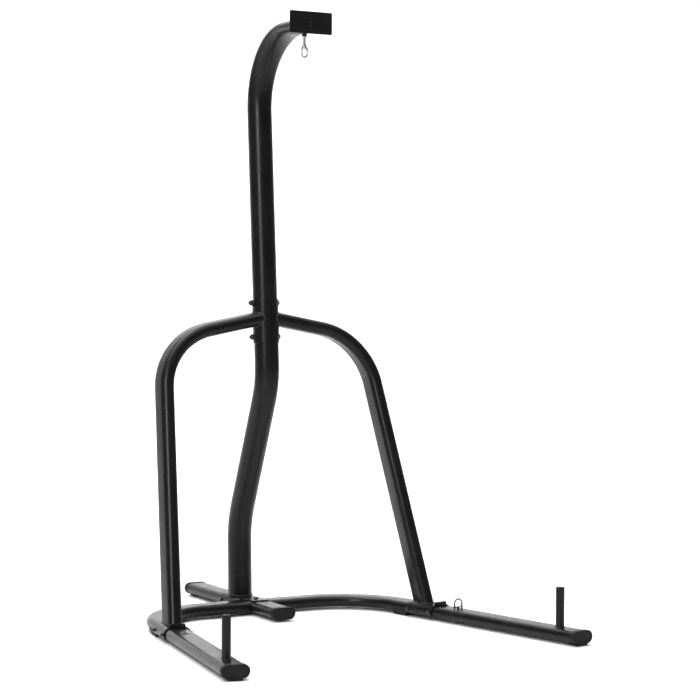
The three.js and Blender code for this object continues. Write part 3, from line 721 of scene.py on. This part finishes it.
# ---- pegs, eye and spare bolt -------------------------------------------------------------------
def make_pegs():
    at = LEG_END - LEG_DIR * PEG_SETBACK
    at.z = 0
    base = BASE_TOP + GAP
    tube = Shape().lathe([(PEG_R - 0.6, base), (PEG_R, base + 0.6), (PEG_R, PEG_TOP - 4.6),
                          (PEG_R - 0.6, PEG_TOP - 4)], at, Z, 56)
    pair("peg_tube", tube, COAT, "weight_peg")
    dome = [(PEG_R - 0.5, PEG_TOP - 4 + GAP), (PEG_R, PEG_TOP - 3.4), (PEG_R, PEG_TOP - 1.8)]
    dome += [(PEG_R - 1.8 + 1.8 * math.cos(a), PEG_TOP - 1.8 + 1.8 * math.sin(a))
             for a in (math.pi / 2 * k / 5 for k in range(1, 6))]
    pair("peg_cap", Shape().lathe(dome, at, Z, 56), PLASTIC, "peg_plug")
    ring = [at + Vector((a, b, base + 0.4)) for a, b in round_section(PEG_R + 0.6, 70)]
    pair("peg_weld", Shape().bead(ring, 1.7, 0.14), WELD)
    low = BASE_BOTTOM - GAP
    bolt = Shape().hexagon(SMALL_HEX, low - 5.5, low, at, Z, (True, False))
    bolt.lathe([(4, low - 1), (4, base + 16)], at, Z, 24)
    pair("peg_under_bolt", bolt, OXIDE, "peg_bolt")


def make_eye():
    at = FOOT + LEG_DIR * EYE_SETBACK
    at.z = 0
    top, base = BASE_TOP + EYE_HEIGHT - EYE_WIRE, BASE_TOP + GAP
    bow = route([at + Vector((-EYE_HALF, 0, base)), at + Vector((-EYE_HALF, 0, top)),
                 at + Vector((EYE_HALF, 0, top)), at + Vector((EYE_HALF, 0, base))],
                [EYE_HALF, EYE_HALF], 5)
    shape = Shape().skin(swept(bow, round_section(EYE_WIRE, 24), Y))
    shape.lathe([(4, 1.2), (4, BASE_TOP + EYE_BAR)], at, Z, 24)
    piece("eye_bow", shape, OXIDE, "right_tether_eye_bolt")
    w, h = EYE_HALF + 4, 1.3
    bar = [(-w, BASE_TOP + EYE_BAR - h), (w, BASE_TOP + EYE_BAR - h), (w, BASE_TOP + EYE_BAR + h),
           (-w, BASE_TOP + EYE_BAR + h)]
    piece("eye_bar", Shape().prism(bar, at - Y * 4, at + Y * 4, X), OXIDE, bevel=0.5)
    nut = Shape().hexagon(SMALL_HEX, BASE_BOTTOM - GAP - 6.5, BASE_BOTTOM - GAP, at, Z, (True, False))
    piece("eye_nut", nut, OXIDE, "right_tether_eye_nut")
    piece("spare_nut", nut.mirrored(), OXIDE, "left_spare_nut")
    left = flip(at)
    spare = Shape().lathe([(4, 1.2), (4, BASE_TOP + 2), (6.5, BASE_TOP + GAP + 2.3), (6.5, BASE_TOP + 4)]
                          + [(6.5 * math.cos(a), BASE_TOP + 4 + 2.8 * math.sin(a))
                             for a in (math.pi / 2 * k / 8 for k in range(1, 8))], left, Z, 40)
    piece("spare_round_bolt", spare, OXIDE, "left_spare_bolt")
    ring = [(4.3, base), (12.1, base), (12.5, base + 0.4), (12.5, base + 1.6), (12.1, base + 2),
            (4.3, base + 2)]
    piece("spare_round_washer", washer(ring, left, Z), ZINC, "left_spare_washer")


def finish_cad_nodes():
    """The CAD pieces that stay: inner sleeves and the cradle feet."""
    for node, material in (("post_joint_liner", OXIDE), ("right_leg_joint_sleeve", OXIDE),
                           ("left_leg_joint_sleeve", OXIDE), ("right_corner_foot", PLASTIC),
                           ("left_corner_foot", PLASTIC)):
        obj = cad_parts[node]
        obj.data.materials.clear()
        obj.data.materials.append(material)
        if material is PLASTIC:
            soften(obj, 0.8)


# ---- studio -------------------------------------------------------------------------------------
CAMERA_AT = Vector((-3.2052, -6.2157 + Y_SHIFT / 1000, 1.1159))
AZIMUTH, PITCH, ROLL = (math.radians(d) for d in (-29.6428, -1.6296, 0.2146))
FOCAL, FRAME_WIDTH, SENSOR = 2040.3, 700, 36
SWEEP_NEAR, SWEEP_FAR, SWEEP_BEND, SWEEP_TOP, SWEEP_WIDE = 12, 3.5, 3, 14, 16


def make_camera():
    level = math.cos(PITCH)
    look = Vector((-math.sin(AZIMUTH) * level, math.cos(AZIMUTH) * level, math.sin(PITCH)))
    right = Vector((math.cos(AZIMUTH), math.sin(AZIMUTH), 0))
    up = right.cross(look)
    right, up = (right * math.cos(ROLL) + up * math.sin(ROLL), up * math.cos(ROLL) - right * math.sin(ROLL))
    data = bpy.data.cameras.new("camera")
    data.sensor_width, data.lens = SENSOR, FOCAL / FRAME_WIDTH * SENSOR
    data.clip_end = 200
    camera = bpy.data.objects.new("camera", data)
    bpy.context.scene.collection.objects.link(camera)
    camera.matrix_world = Matrix((right, up, -look)).transposed().to_4x4()
    camera.location = CAMERA_AT
    bpy.context.scene.camera = camera
    return look


def make_floor(look):
    """A pale sweep: floor that rises into a wall far behind the stand, seen from the camera."""
    ahead = Vector((look.x, look.y, 0)).normalized()
    aside = Vector((ahead.y, -ahead.x, 0))
    profile = [(-SWEEP_NEAR, 0.0), (SWEEP_FAR, 0.0)]
    for k in range(1, 33):
        t = math.pi / 2 * k / 32
        profile.append((SWEEP_FAR + SWEEP_BEND * math.sin(t), SWEEP_BEND * (1 - math.cos(t))))
    profile.append((SWEEP_FAR + SWEEP_BEND, SWEEP_TOP))
    data = bpy.data.meshes.new("floor")
    points = [ahead * d + aside * w + Z * h for d, h in profile for w in (-SWEEP_WIDE, SWEEP_WIDE)]
    quads = [(2 * i, 2 * i + 1, 2 * i + 3, 2 * i + 2) for i in range(len(profile) - 1)]
    data.from_pydata(points, [], quads)
    data.polygons.foreach_set("use_smooth", [True] * len(data.polygons))
    floor = bpy.data.objects.new("floor", data)
    bpy.context.scene.collection.objects.link(floor)
    m = Nodes("studio_floor")
    m.link(m.ramp(m.noise(1.5, 3), [(0.3, (0.87, 0.87, 0.87)), (0.7, (0.89, 0.89, 0.89))]),
           m.shader.inputs["Base Color"])
    m.shader.inputs["Roughness"].default_value = 0.9
    m.shader.inputs["Specular IOR Level"].default_value = 0.1
    data.materials.append(m.mat)


def soft_box(name, at, aim, size, power):
    data = bpy.data.lights.new(name, "AREA")
    data.shape, data.size, data.size_y, data.energy = "RECTANGLE", *size, power
    lamp = bpy.data.objects.new(name, data)
    bpy.context.scene.collection.objects.link(lamp)
    lamp.location = at
    lamp.rotation_euler = (Vector(aim) - Vector(at)).to_track_quat("-Z", "Y").to_euler()


def make_world():
    """An even, dim studio that fills the shadows."""
    world = bpy.data.worlds.new("studio")
    world.use_nodes = True
    back = world.node_tree.nodes["Background"]
    back.inputs["Color"].default_value = (1, 1, 1, 1)
    back.inputs["Strength"].default_value = 0.22
    bpy.context.scene.world = world


def make_studio():
    look = make_camera()
    make_floor(look)
    make_world()
    soft_box("key", (-4.2, -3.2, 3.4), (0, 0, 0.9), (0.8, 3.4), 230)
    soft_box("top", (0.4, 0.6, 6.0), (0, 0, 0), (6, 6), 420)
    soft_box("sweep", (-1.5, 2.5, 6.5), (-3.5, 6.5, 1.5), (9, 3), 700)
    bpy.context.scene.view_settings.view_transform = "Standard"



make_studio()
make_posts()
make_saddles()
make_side_tubes()
make_base()
make_brackets()
make_caps()
make_plate()
make_hanger()
make_snap_hook()
make_saddle_bolts()
make_fasteners()
make_pegs()
make_eye()
finish_cad_nodes()
